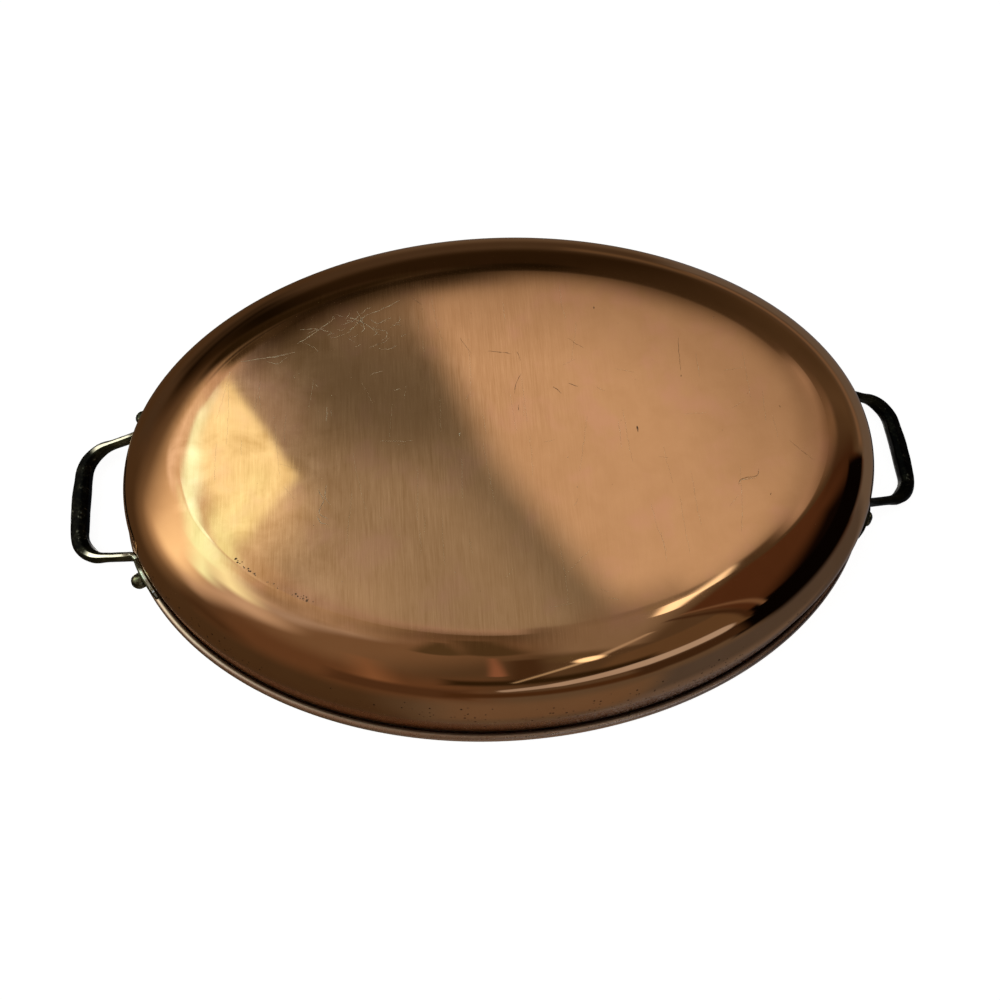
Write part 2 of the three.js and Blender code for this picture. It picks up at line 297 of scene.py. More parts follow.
def on_base(x, y, share=0.97):
    return (x / (A - SHOULDER_INSET)) ** 2 + (y / (B - SHOULDER_INSET)) ** 2 < share ** 2


def base_marks(first):
    """Flakes of wear; returns corners, faces and a material slot for each face."""
    verts, faces, slots = [], [], []
    rng = np.random.default_rng(11)

    def done(slot):
        slots.extend([slot] * (len(faces) - len(slots)))

    for i, (path, w) in enumerate(PALE_MARKS):
        flake_strip(path, w * 1.45, 3.0 + i, verts, faces)
    for _ in range(26):                       # short curls round the most scratched place
        x, y = rng.normal((-56, -48), (13, 5.5))
        if not on_base(x, y, 0.93):
            continue
        a = rng.uniform(-0.9, 0.5)
        l, c = rng.uniform(1.2, 4.0), rng.uniform(-0.9, 0.9)
        path = ((x, y), (x + l * math.cos(a), y + l * math.sin(a)),
                (x + l * (math.cos(a) + math.cos(a + c)), y + l * (math.sin(a) + math.sin(a + c))))
        flake_strip(path, rng.uniform(0.16, 0.34), 40 + _, verts, faces)
    done(1)
    for _ in range(90):                       # hairlines from cleaning, mostly across the pan
        x, y = rng.uniform(-112, 112), rng.uniform(-66, 66)
        a = math.pi / 2 + rng.normal(0, 0.10) if _ < 62 else rng.uniform(0, math.pi)
        l = rng.uniform(5, 26) if _ < 62 else rng.uniform(3, 12)
        bend = rng.normal(0, 0.06)
        path = [(x + l * t * math.cos(a + bend * t), y + l * t * math.sin(a + bend * t)) for t in (0, 0.5, 1)]
        if all(on_base(*p) for p in path):
            flake_strip(path, rng.uniform(0.05, 0.10), 90 + _, verts, faces)
    for _ in range(22):
        x, y = rng.uniform(-100, 40), rng.uniform(-60, 60)
        if on_base(x, y):
            flake_dot(x, y, rng.uniform(0.10, 0.2), rng, verts, faces)
    done(1)
    for i, (path, w) in enumerate(DARK_MARKS):
        flake_strip(path, w, 60.0 + i, verts, faces)
    for trail in DIRT_TRAILS:
        pts = smooth_path(trail)
        for _ in range(64):
            p = pts[rng.integers(len(pts))] + rng.normal(0, 0.62, 2)
            if on_base(*p, 0.995):
                flake_dot(p[0], p[1], rng.uniform(0.10, 0.42), rng, verts, faces)
    for _ in range(30):
        x, y = rng.uniform(-110, 110), rng.uniform(-66, 66)
        if on_base(x, y):
            flake_dot(x, y, rng.uniform(0.06, 0.15), rng, verts, faces)
    done(2)
    return verts, [tuple(i + first for i in f) for f in faces], slots


def build_shell(mats):
    rows = shell_rows()
    verts, faces, start = lathe_oval(rows, AROUND)
    more, strips, slots = base_marks(len(verts))
    ob = new_mesh("copper_body", list(verts) + more, faces + strips, mats, [0] * len(faces) + slots)
    # how near a point is to the seam between the wall and the rolled rim; the copper is painted near-black there, as
    # dirt and painted shade in the crease
    seam = []
    for row in rows:
        near = 0.0
        if row[0] is not None and row[1] > HEIGHT - 9:
            near = ease(1.0 - (math.hypot(row[0] - 3.05, row[1] - (HEIGHT - 4.4)) - 0.75) / 0.9)
        seam += [near] * (1 if row[0] is None else AROUND)
    point_attr(ob, "seam", seam + [0.0] * len(more))
    return ob


def build_lining(mats):
    out, inn = SHEET + GAP, SHEET + GAP + LINING
    top = HEIGHT - LINING_TOP_DROP
    outer = face_rows(out, 20, FLAT[::2]) + wall_rows(out, top - 0.1, 6)
    inner = face_rows(inn, 40, FLAT) + wall_rows(inn, top - 0.1, 12)
    rows = outer + [(wall_inset(top) + (out + LINING / 2) / COS, top)] + inner[::-1]
    verts, faces, start = lathe_oval(rows, AROUND)
    return new_mesh("tinned_inside", verts, faces, mats)


# ============================================================ handles
def half_steps(foot_tip_y):
    """Centre line of half a handle (+X end, +Y side): place, section's up, width, height,
    bevel, how much it is leg rather than grip, and how much it is foot."""
    foot_inset = wall_inset(HEIGHT - ROOT_DROP) - GAP - FOOT_T / 2
    tip_phi, root_phi = phi_at_y(foot_tip_y, foot_inset), phi_at_y(ROOT_Y, foot_inset)
    root = np.array(oval_point(root_phi, foot_inset))
    corner = np.array([GRIP_X, CORNER_Y])
    along = np.array(oval_point(root_phi - 0.01, foot_inset)) - root
    along /= np.linalg.norm(along)
    leg = (corner - root) / np.linalg.norm(corner - root)

    def fillet(vertex, din, dout, r, steps):
        turn = math.acos(float(np.dot(din, dout)))
        back = r * math.tan(turn / 2)
        start = vertex - din * back
        side = math.copysign(1, din[0] * dout[1] - din[1] * dout[0])
        centre = start + np.array([-din[1], din[0]]) * side * r
        out = []
        for i in range(steps + 1):
            a = side * turn * i / steps
            d = start - centre
            out.append(centre + np.array([d[0] * math.cos(a) - d[1] * math.sin(a),
                                          d[0] * math.sin(a) + d[1] * math.cos(a)]))
        return out

    flat = []
    bend = fillet(root, along, leg, ROOT_R, 14)
    last_phi = phi_at_y(bend[0][1] + 0.3, foot_inset)
    for i in range(31):
        t = i / 30
        k = 2 * t * t if t < 0.5 else 1 - 2 * (1 - t) ** 2
        phi = tip_phi + (last_phi - tip_phi) * (0.35 * k + 0.65 * t)
        flat.append((np.array(oval_point(phi, foot_inset)), "foot"))
    flat += [(p, "bend") for p in bend]
    loop = fillet(corner, leg, np.array([0.0, -1.0]), CORNER_R, 22)
    for i in range(1, 10):
        flat.append((mix(bend[-1], loop[0], i / 10), "leg"))
    flat += [(p, "loop") for p in loop]
    end_y = loop[-1][1]
    for i in range(1, 11):
        flat.append((np.array([GRIP_X, end_y * (1 - i / 10)]), "grip"))

    rise = (ROOT_DROP - GRIP_DROP) / (GRIP_X - root[0])
    foot_length = foot_tip_y - ROOT_Y
    half = []
    for p, part in flat:
        drop = ROOT_DROP - (0 if part == "foot" else max(0.0, p[0] - root[0]) * rise)
        bow = GRIP_BOW * (1 - min(1, abs(p[1]) / CORNER_Y) ** 2) * ease((p[0] - (GRIP_X - 6)) / 5)
        nx, ny = oval_normal(phi_at_y(min(foot_tip_y, p[1]), foot_inset))
        wall_up = np.array([nx * SIN, ny * SIN, COS])
        loop_up = np.array([-rise, 0, 1]) / math.hypot(rise, 1)
        turned = 0 if part == "foot" else ease((p[0] - bend[0][0]) / (bend[-1][0] - bend[0][0] + 2))
        up = wall_up * (1 - turned) + loop_up * turned
        up /= np.linalg.norm(up)
        if part == "foot":
            s = foot_tip_y - p[1]
            rnd = math.sqrt(max(0, 1 - max(0, 1 - s / (FOOT_H * 0.55)) ** 2))
            h = max(2.4, FOOT_H * rnd) * mix(1, 0.58, ease((s - 8.5) / (foot_length - 8)))
            w, bev, leg_share, foot_share = FOOT_T * mix(0.8, 1, ease(s / 2)), 0.45, 0.0, 1.0
        else:
            t = ease((p[0] - bend[0][0]) / 6)
            h, w, bev = mix(FOOT_H * 0.58, LEG_H, t), mix(FOOT_T, LEG_W, t), mix(0.45, 1.0, t)
            g = ease((p[0] - (GRIP_X - 12)) / 11)
            w, h, bev = mix(w, GRIP_W * 0.86, g), mix(h, GRIP_H, g), mix(bev, 1.75, g)
            c = 1 - ease(abs(p[1]) / CORNER_Y)
            w += GRIP_W * 0.14 * c * g
            leg_share, foot_share = 1 - g, 1 - t
        half.append((np.array([p[0] + bow, p[1], HEIGHT - drop]), up, w, h, bev, leg_share, foot_share))
    return half


def handle_steps():
    flip = np.array([1, -1, 1])
    mirrored = [(s[0] * flip, s[1] * flip, *s[2:]) for s in half_steps(FOOT_TIP_Y["long"])[:-1][::-1]]
    return half_steps(FOOT_TIP_Y["short"]) + mirrored


def bevelled_section(w, h, c, rf, arc=4, mids=3):
    """Rounded-corner octagon, w by h, corners cut by c. Returns points, an edge weight and
    a weight for the narrow face underneath."""
    W, H = w / 2, h / 2
    c = min(c, W * 0.9, H * 0.9)
    corners = [(W, H - c), (W - c, H), (-(W - c), H), (-W, H - c),
               (-W, -(H - c)), (-(W - c), -H), (W - c, -H), (W, -(H - c))]
    pts, wt, low, n = [], [], [], 8
    for i in range(n):
        p0, p1, p2 = (np.array(corners[(i + k - 1) % n]) for k in range(3))
        a, b = (p0 - p1), (p2 - p1)
        la, lb = np.linalg.norm(a), np.linalg.norm(b)
        t = min(rf * math.tan(math.pi / 8), la * 0.42, lb * 0.42)
        s, e = p1 + a / la * t, p1 + b / lb * t
        for j in range(arc + 1):
            q = j / arc
            pts.append((1 - q) ** 2 * s + 2 * q * (1 - q) * p1 + q * q * e)
            wt.append(1.0)
            low.append(1.0 if (i == 5 and j == arc) or (i == 6 and j == 0) else 0.0)
        nxt_t = min(rf * math.tan(math.pi / 8), lb * 0.42)
        f = p2 - b / lb * nxt_t
        for j in range(1, mids + 1):
            pts.append(e + (f - e) * j / (mids + 1))
            wt.append(0.0)
            low.append(1.0 if i == 5 else 0.0)
    return pts, wt, low


def build_handle(name, sx, mats, seed):
    steps = handle_steps()
    verts, wts, legs, lows, feet, n = [], [], [], [], [], len(steps)
    side = 0
    for i, (p, up, w, h, bev, leg, foot) in enumerate(steps):
        t = steps[min(n - 1, i + 1)][0] - steps[max(0, i - 1)][0]
        t /= np.linalg.norm(t)
        across = np.cross(t, up)
        across /= np.linalg.norm(across)
        upv = np.cross(across, t)
        sec, wt, low = bevelled_section(w, h, bev, 0.55 + 0.9 * (1 - leg) * (bev / 1.75))
        side = len(sec)
        for (x, y), e, l in zip(sec, wt, low):
            verts.append(p + across * x + upv * y)
            wts.append(e)
            legs.append(leg)
            lows.append(l)
            feet.append(foot)
    faces = []
    for i in range(n - 1):
        for k in range(side):
            a, b = i * side + k, i * side + (k + 1) % side
            faces.append((a, b, b + side, a + side))
    # rounded ends of the feet
    for i, flipped in ((0, True), (n - 1, False)):
        ring = list(range(i * side, (i + 1) * side))
        centre = np.mean([verts[r] for r in ring], axis=0)
        t = steps[0][0] - steps[1][0] if flipped else steps[-1][0] - steps[-2][0]
        t /= np.linalg.norm(t)
        prev = ring
        for scale, push in ((0.8, 0.22), (0.4, 0.36)):
            new = []
            for r in ring:
                verts.append(centre + (verts[r] - centre) * scale + t * push)
                wts.append(0.6)
                legs.append(0.0)
                lows.append(0.0)
                feet.append(1.0)
                new.append(len(verts) - 1)
            for k in range(side):
                q = (prev[k], prev[(k + 1) % side], new[(k + 1) % side], new[k])
                faces.append(q[::-1] if flipped else q)
            prev = new
        verts.append(centre + t * 0.4)
        wts.append(0.5)
        legs.append(0.0)
        lows.append(0.0)
        feet.append(1.0)
        last = len(verts) - 1
        for k in range(side):
            tri = (prev[k], prev[(k + 1) % side], last)
            faces.append(tri[::-1] if flipped else tri)
    # the skin of a casting is never quite even
    V = np.array(verts)
    for i in range(len(V)):
        v = Vector((V[i, 0] * sx, V[i, 1] * sx, V[i, 2])) * 0.16 + Vector((seed, 0, 0))
        d = noise3(v) * 0.16 + noise3(v * 3.1) * 0.05
        near_wall = 1.0 if abs(V[i, 1]) < ROOT_Y else 0.25
        V[i] += np.array(d) * near_wall
    if sx < 0:
        V[:, 0] *= -1
        V[:, 1] *= -1
    ob = new_mesh(name, V, faces, mats)
    share = 1.0 if sx < 0 else 0.30                # the right handle gets under a third of the pale marks and pale olive: painted shade, a darker copy of the same finish
    point_attr(ob, "edge", wts)
    point_attr(ob, "leg", np.array(legs) * share)
    point_attr(ob, "under", np.array(lows) * share)
    point_attr(ob, "foot", np.array(feet) * share)
    return ob


# ============================================================ rivets
RIVET_Z = HEIGHT - ROOT_DROP
HEAD_SEAT = GAP + FOOT_T + GAP
INNER_SEAT = -(SHEET + GAP + LINING + GAP)


def build_rivet(name, sx, sy, mats, seed):
    rise = 0.55 if sx > 0 and sy > 0 else 1.0      # this head was hammered flatter than the others
    prof = [(0.0, INNER_SEAT - INNER_H)]
    for i in range(1, 13):
        a = i / 12 * math.pi / 2
        prof.append((INNER_R * math.sin(a), INNER_SEAT - INNER_H * (0.18 + 0.82 * math.cos(a))))
    prof += [(INNER_R * 0.99, INNER_SEAT - 0.05), (INNER_R * 0.96, INNER_SEAT),
             (SHANK_R, INNER_SEAT), (SHANK_R, HEAD_SEAT), (HEAD_R * 0.95, HEAD_SEAT),
             (HEAD_R * 0.99, HEAD_SEAT + 0.08)]
    for i in range(16, 0, -1):
        a = i / 16 * math.pi / 2
        prof.append((HEAD_R * math.sin(a), HEAD_SEAT + (HEAD_H - HEAD_R + HEAD_R * math.cos(a)) * rise))
    prof.append((0.0, HEAD_SEAT + HEAD_H * rise))
    n, around = len(prof), 40
    verts, faces = [(0, prof[0][1], 0)], []
    for r, y in prof[1:-1]:
        for j in range(around):
            a = 2 * math.pi * j / around
            verts.append((r * math.cos(a), y, r * math.sin(a)))
    verts.append((0, prof[-1][1], 0))
    for j in range(around):
        faces.append((0, 1 + j, 1 + (j + 1) % around))
    for i in range(n - 3):
        for j in range(around):
            a, b = 1 + i * around + j, 1 + i * around + (j + 1) % around
            faces.append((a, a + around, b + around, b))
    last, ring = len(verts) - 1, 1 + (n - 3) * around
    for j in range(around):
        faces.append((ring + j, last, ring + (j + 1) % around))
    phi = phi_at_y(RIVET_Y["long" if sx * sy < 0 else "short"], wall_inset(RIVET_Z))
    nx, ny = oval_normal(phi)
    px, py = oval_point(phi, wall_inset(RIVET_Z))
    nrm = Vector((sx * nx * COS, sy * ny * COS, -SIN)).normalized()
    rot = Vector((0, 1, 0)).rotation_difference(nrm)
    mat = Matrix.Translation((sx * px, sy * py, RIVET_Z)) @ rot.to_matrix().to_4x4()
    out = []
    for v in verts:
        q = Vector(v)
        if q.y > HEAD_SEAT + 0.3:      # hammered head, a little uneven
            q += noise3(q * 0.45 + Vector((seed, 3, 1))) * 0.16
        elif q.y < INNER_SEAT - 0.2:
            q += noise3(q * 0.5 + Vector((seed, 9, 2))) * 0.07
        out.append(tuple(mat @ q))
    return new_mesh(name, out, faces, mats, sharp=50)


# ============================================================ camera
cam_data = bpy.data.cameras.new("camera")
cam = bpy.data.objects.new("camera", cam_data)
bpy.context.scene.collection.objects.link(cam)
cam_data.sensor_width = 36.0
cam_data.lens = 30.953
cam_data.clip_start = 0.01
cam_data.clip_end = 20.0
cam.matrix_world = Matrix((
    (0.99425, 0.06988, -0.08115, -0.03153),
    (0.09292, -0.93961, 0.32940, 0.12437),
    (-0.05323, -0.33505, -0.94070, -0.28627),
    (0, 0, 0, 1)))
bpy.context.scene.camera = cam


# ============================================================ node writing
class Val:
    """A number travelling through a node tree."""
    tree = None

    def __init__(self, sock):
        self.s = sock

    def __add__(self, o): return op("ADD", self, o)
    def __radd__(self, o): return op("ADD", o, self)
    def __sub__(self, o): return op("SUBTRACT", self, o)
    def __rsub__(self, o): return op("SUBTRACT", o, self)
    def __mul__(self, o): return op("MULTIPLY", self, o)
    def __rmul__(self, o): return op("MULTIPLY", o, self)
    def __truediv__(self, o): return op("DIVIDE", self, o)
    def __rtruediv__(self, o): return op("DIVIDE", o, self)
    def __neg__(self): return op("MULTIPLY", self, -1.0)


def put(sock, v):
    if isinstance(v, Val):
        Val.tree.links.new(v.s, sock)
    elif isinstance(v, (tuple, list)) and len(v) == 3 and sock.type == "RGBA":
        sock.default_value = (*v, 1.0)
    else:
        sock.default_value = v


def node(kind, **props):
    n = Val.tree.nodes.new(kind)
    for k, v in props.items():
        setattr(n, k, v)
    return n


def op(name, a, b=None, c=None, clamp=False):
    n = node("ShaderNodeMath", operation=name, use_clamp=clamp)
    for i, v in enumerate((a, b, c)):
        if v is not None:
            put(n.inputs[i], float(v) if not isinstance(v, Val) else v)
    return Val(n.outputs[0])


def vmax(a, b): return op("MAXIMUM", a, b)
def vmin(a, b): return op("MINIMUM", a, b)
def vabs(a): return op("ABSOLUTE", a)
def vsqrt(a): return op("SQRT", a)
def clamp01(a): return op("ADD", a, 0.0, clamp=True)


def ramp(v, lo, hi, to_lo=0.0, to_hi=1.0, soft=True):
    n = node("ShaderNodeMapRange", interpolation_type="SMOOTHSTEP" if soft else "LINEAR")
    put(n.inputs["Value"], v)
    for k, x in (("From Min", lo), ("From Max", hi), ("To Min", to_lo), ("To Max", to_hi)):
        put(n.inputs[k], x)
    return Val(n.outputs[0])


def blend(fac, a, b, mode="MIX"):
    n = node("ShaderNodeMix", data_type="RGBA", blend_type=mode, clamp_factor=True)
    put(n.inputs[0], fac)
    put(n.inputs[6], a)
    put(n.inputs[7], b)
    return Val(n.outputs[2])


def vec(x, y, z):
    n = node("ShaderNodeCombineXYZ")
    for i, v in enumerate((x, y, z)):
        put(n.inputs[i], v)
    return Val(n.outputs[0])


def split(v):
    n = node("ShaderNodeSeparateXYZ")
    put(n.inputs[0], v)
    return [Val(o) for o in n.outputs]


def noise_tex(v, scale, detail=2.0, rough=0.5, distort=0.0, out="Factor"):
    n = node("ShaderNodeTexNoise")
    put(n.inputs["Vector"], v)
    n.inputs["Scale"].default_value = scale
    n.inputs["Detail"].default_value = detail
    n.inputs["Roughness"].default_value = rough
    n.inputs["Distortion"].default_value = distort
    return Val(n.outputs[0] if out == "Factor" else n.outputs[1])


def voronoi(v, scale, feature="F1", out="Distance", randomness=1.0):
    n = node("ShaderNodeTexVoronoi", feature=feature)
    put(n.inputs["Vector"], v)
    n.inputs["Scale"].default_value = scale
    n.inputs["Randomness"].default_value = randomness
    return Val(n.outputs[out])


def voronoi_both(v, scale):
    n = node("ShaderNodeTexVoronoi")
    put(n.inputs["Vector"], v)
    n.inputs["Scale"].default_value = scale
    return Val(n.outputs["Distance"]), Val(n.outputs["Color"])


def attribute(name):
    n = node("ShaderNodeAttribute", attribute_name=name)
    return Val(n.outputs["Fac"])


def object_mm():
    """Position in the row frame, in millimetres. Every piece's object sits at the origin."""
    n = node("ShaderNodeTexCoord")
    m = node("ShaderNodeVectorMath", operation="SCALE")
    Val.tree.links.new(n.outputs["Object"], m.inputs[0])
    m.inputs["Scale"].default_value = 1000.0
    return Val(m.outputs[0])


def bump(height, strength, distance_mm, normal=None):
    n = node("ShaderNodeBump")
    n.inputs["Strength"].default_value = strength
    n.inputs["Distance"].default_value = distance_mm * 0.001
    put(n.inputs["Height"], height)
    if normal is not None:
        put(n.inputs["Normal"], normal)
    return Val(n.outputs[0])


def principled(name, metallic, roughness, base, normal=None, edge=None, **fixed):
    p = node("ShaderNodeBsdfPrincipled")
    p.inputs["Metallic"].default_value = metallic
    put(p.inputs["Roughness"], roughness)
    put(p.inputs["Base Color"], base)
    if normal is not None:
        put(p.inputs["Normal"], normal)
    if edge is not None:
        p.inputs["Specular Tint"].default_value = (*edge, 1.0)
    for k, v in fixed.items():
        p.inputs[k].default_value = v
    out = node("ShaderNodeOutputMaterial")
    Val.tree.links.new(p.outputs[0], out.inputs[0])
    return p


def start_material(name):
    m = bpy.data.materials.new(name)
    m.use_nodes = True
    m.node_tree.nodes.clear()
    Val.tree = m.node_tree
    return m


def make_group(name, inputs, outputs, body):
    """A node group: inputs and outputs are names of numbers."""
    g = bpy.data.node_groups.new(name, "ShaderNodeTree")
    for i in inputs:
        g.interface.new_socket(name=i, in_out="INPUT", socket_type="NodeSocketFloat")
    for o in outputs:
        g.interface.new_socket(name=o, in_out="OUTPUT", socket_type="NodeSocketFloat")
    keep, Val.tree = Val.tree, g
    gi, go = g.nodes.new("NodeGroupInput"), g.nodes.new("NodeGroupOutput")
    res = body(*[Val(s) for s in gi.outputs if s.name])
    for i, r in enumerate(res if isinstance(res, tuple) else (res,)):
        put(go.inputs[i], r)
    Val.tree = keep
    return g


def call(group, *args):
    n = node("ShaderNodeGroup", node_tree=group)
    for i, a in enumerate(args):
        put(n.inputs[i], a)
    return Val(n.outputs[0])


# ============================================================ surroundings
# The room is drawn on a polar map round straight down: a direction's distance from straight
# down in degrees, u towards +X and v towards +Y. The soft shapes stand for a window, a
# dark doorway, a board, a sill and walls, as an indoor room holds them.
# True swaps the shaped surroundings below for one plain soft dome, brighter on the left
PLAIN_LIGHT = False
ROOM = []
PANEL = []


def room(kind, g, soft, col): ROOM.append((kind, g, soft, col))
def panel(kind, g, soft, col): PANEL.append((kind, g, soft, col))


BG = (0.095, 0.078, 0.058)
# --- wide areas
room("ring", (78, 220, -180, 180), 10, (0.125, 0.118, 0.108))              # horizon and above
room("ring", (74, 220, 108, 262), 14, (0.072, 0.056, 0.038))              # dimmer to the left
room("ring", (-1, 78, -160, -12), 14, (0.070, 0.056, 0.038))              # towards the far side
room("ring", (28, 80, -142, -58), 16, (0.024, 0.017, 0.009))              # darker in its middle
room("cap", (-30, -40, -70, -38, 4, 9), 12, (0.090, 0.070, 0.050))
room("cap", (-12, -37, -34, -72, 2.5, 8), 7, (0.008, 0.006, 0.002))          # darkest streak
room("cap", (-17, -37, 8, -38.5, 1.5, 2.0), 4, (0.010, 0.008, 0.003))
room("ring", (80, 106, -150, -40), 10, (0.070, 0.060, 0.050))
room("ring", (83.5, 90.5, -62, -13), 3.2, (0.185, 0.158, 0.138))             # paler band to the right
room("ring", (80, 87, -76, -60), 4, (0.130, 0.110, 0.085))
room("cap", (26, -24, 62, -30, 3, 8), 9, (0.100, 0.082, 0.060))
room("cap", (25, -20, 36, -22, 3, 3), 6, (0.225, 0.185, 0.150))
# --- lower left floor, brown
room("cap", (-4, 10, -36, 40, 12, 18), 12, (0.195, 0.155, 0.120))
room("ring", (58, 95, 93, 150), 14, (0.135, 0.088, 0.058))
room("cap", (-22, 40, -28, 66, 1, 4), 5, (0.25, 0.165, 0.115))
room("ring", (74, 90, 96, 122), 4, (0.085, 0.055, 0.036))
room("cap", (-86, 32, -76, 50, 3, 6), 10, (0.066, 0.045, 0.028))
# --- window on the left
room("cap", (-20, -20, -76, 2, 17, 22), 17, (0.26, 0.22, 0.165))
room("cap", (-18, -21, -64, 5, 9, 14), 15, (0.90, 0.86, 0.72))
room("cap", (-64, 23, -38, 20, 6, 6), 8, (0.58, 0.56, 0.56))
room("cap", (-24, -11, -62, 8, 3, 8.5), 10, (1.28, 1.36, 1.20))
room("cap", (-18, -25, -30, -22, 1.6, 3), 5, (1.06, 1.10, 1.16))
room("cap", (-21, -14.5, -46, 10.5, 2.0, 2.6), 6, (1.30, 2.15, 1.95))
room("cap", (-26, 6, -38, 20, 5, 5), 9, (0.62, 0.62, 0.64))
room("cap", (-14, 8.5, -25, 13, 2, 3), 5, (0.44, 0.45, 0.50))
room("cap", (-26, -5, -34, 9, 3.0, 3.5), 5, (1.22, 1.68, 1.52))
room("cap", (-19.5, -14.4, -32, -4.0, 1.8, 3.4), 3.0, (1.20, 1.98, 1.78))
room("cap", (-15.5, -22.2, -17.6, -17.0, 0.7, 1.6), 0.7, (1.32, 2.25, 2.35))
room("cap", (-14.6, -25.6, -15.5, -22.2, 0.40, 0.7), 0.5, (1.35, 2.30, 2.45))
room("cap", (-15.6, -33.6, -5, -35.2, 2.4, 2.4), 2.2, (0.040, 0.033, 0.022))
room("cap", (-24, -44, -7, -39.5, 6, 5.5), 3.5, (0.022, 0.017, 0.008))
room("cap", (-12.8, -30.8, -8, -32.6, 1.8, 1.8), 1.0, (0.055, 0.046, 0.030))
room("cap", (-54, -70, -38, -88, 5, 5), 8, (0.032, 0.026, 0.018))
room("cap", (-47, -59, -34, -76, 5.5, 5), 7, (0.010, 0.007, 0.003))
room("cap", (-8, -33.2, 9, -36.0, 1.2, 1.6), 2.4, (0.012, 0.009, 0.004))
room("cap", (-8, -13, -14, 2, 1, 5), 8, (0.44, 0.42, 0.40))
room("cap", (-13.4, -19.6, -14.2, -15.6, 0.8, 1.3), 0.8, (1.14, 1.62, 1.28))
room("cap", (-12.2, -16.0, -14.0, -13.0, 0.7, 1.2), 1.6, (0.80, 0.86, 0.82))
room("cap", (-9.5, -13.4, 5, -10.0, 1.3, 0.9), 1.3, (0.42, 0.40, 0.42))
# --- near side
room("poly", ((6.5, -12), (18, -12), (20.5, 10), (21.5, 30), (13, 30), (8, 20)), 3.5, (0.25, 0.235, 0.215))
room("cap", (-2.5, 4, -5.0, 18, 0.8, 3), 1.2, (0.088, 0.075, 0.048))
room("cap", (1.2, 0, 1.6, 17, 1.6, 3.6), 1.5, (0.080, 0.066, 0.042))
room("cap", (5.0, 30, 5.5, 58, 2.4, 3.4), 1.8, (0.062, 0.042, 0.026))
room("cap", (0.9, 24, 0.2, 50, 0.3, 1.4), 0.9, (0.27, 0.165, 0.135))
room("ell", (12.5, 31, 3.5, 5, 0), 3, (0.12, 0.105, 0.075))
# --- right: brown board and black beyond it
room("poly", ((21.6, -12.5), (40, -13), (92, -20.0), (100, 60), (54, 48), (22.6, 10)), 1.0, (0.082, 0.043, 0.025))
room("cap", (40, -12, 64, -13, 3, 5), 6, (0.050, 0.028, 0.016))
room("poly", ((46, -1), (62, -7), (92, -8), (92, 62), (60, 58), (52, 36)), 8, (0.005, 0.003, 0.002))
room("ring", (62, 89.3, -10, 47), 2.4, (0.002, 0.0012, 0.0008))
room("cap", (22, 9, 53, 39, 0.3, 0.8), 0.7, (0.20, 0.155, 0.125))
room("poly", ((22, 12), (30, 21), (55, 47), (50, 52), (10, 66), (12, 48), (20, 40)), 1.8, (0.125, 0.098, 0.068))
room("cap", (21, 11, 52, 45, 0.5, 1.1), 0.8, (0.050, 0.030, 0.018))
room("cap", (25.2, -24.5, 24.5, -15.8, 1.3, 1.4), 1.6, (0.42, 0.375, 0.355))
room("ring", (93, 180, -64, 6), 6, (0.140, 0.155, 0.185))
room("ring", (94, 180, 2, 62), 6, (0.088, 0.094, 0.112))
room("ring", (130, 180, 20, 62), 10, (0.165, 0.170, 0.190))
room("ring", (98, 140, 64, 100), 9, (0.165, 0.138, 0.115))
# --- long pale sill below
room("ring", (58, 66, 60, 100), 3, (0.030, 0.022, 0.010))
room("cap", (1, 75.0, 13, 70.5, 1.8, 2.8), 0.8, (0.40, 0.44, 0.53))
room("cap", (13, 70.5, 30, 61.0, 2.9, 4.3), 0.8, (0.45, 0.49, 0.58))
room("cap", (30, 61.0, 45.5, 50.5, 4.3, 4.2), 0.9, (0.47, 0.52, 0.62))
room("ring", (79, 87, 62, 100), 2.5, (0.070, 0.042, 0.022))
room("ring", (73, 86, 44, 66), 2.5, (0.050, 0.034, 0.022))
# --- small bright things
room("cap", (20.5, 20, 16, 36, 0.6, 1.0), 0.7, (0.46, 0.46, 0.45))
room("cap", (15, 39, 3, 62, 0.9, 0.4), 0.7, (0.50, 0.52, 0.48))
room("ell", (14.8, 37.5, 2.2, 3.2, 0), 0.8, (1.7, 1.8, 1.7))
room("cap", (19.6, -12.7, 17.0, -9, 0.25, 1.2), 0.45, (1.5, 1.60, 1.55))
room("cap", (15.4, -10.6, 13.4, -9.7, 0.5, 0.5), 0.8, (0.26, 0.24, 0.20))
room("cap", (16.8, -9, 17.6, -1.5, 1.4, 1.1), 0.6, (1.7, 1.80, 1.75))
# --- the panel that the flat base mirrors
ELL = ("ell", (5.4, -22.3, 20.4, 11.9, 4.5), 0.35)
BGB = (0.345, 0.365, 0.350)
panel("cap", (-10, -18, -6, -13, 1.5, 3), 4, (0.45, 0.475, 0.46))
panel("cap", (-11, -31, -1, -29.5, 2.5, 5.2), 4, (0.148, 0.155, 0.142))
panel("cap", (-4, -28, 2.5, -24, 4.6, 1.8), 4, (0.150, 0.158, 0.145))
panel("cap", (3, -22, 11, -11, 1.3, 1.6), 2.8, (0.205, 0.220, 0.212))
panel("poly", ((0.2, -40), (0.7, -31), (4.8, -22), (9.2, -15.6), (14, -9), (40, -9), (40, -40)), 1.7, (0.635, 0.605, 0.565))
panel("rim", (5.4, -22.3, 20.4, 11.9, 4.5, 0.45, 0.98, -112, 14), 30, (0.425, 0.395, 0.365))
panel("rim", (5.4, -22.3, 20.4, 11.9, 4.5, 0.83, 1.01, -168, -92), 14, (0.060, 0.048, 0.030))
panel("rim", (5.4, -22.3, 20.4, 11.9, 4.5, 0.88, 1.03, -100, -40), 16, (0.105, 0.085, 0.060))
panel("rim", (5.4, -22.3, 20.4, 11.9, 4.5, 0.92, 1.05, -44, 4), 14, (0.170, 0.140, 0.115))
panel("rim", (5.4, -22.3, 20.4, 11.9, 4.5, 0.90, 1.01, -165, -92), 10, (0.018, 0.014, 0.006))
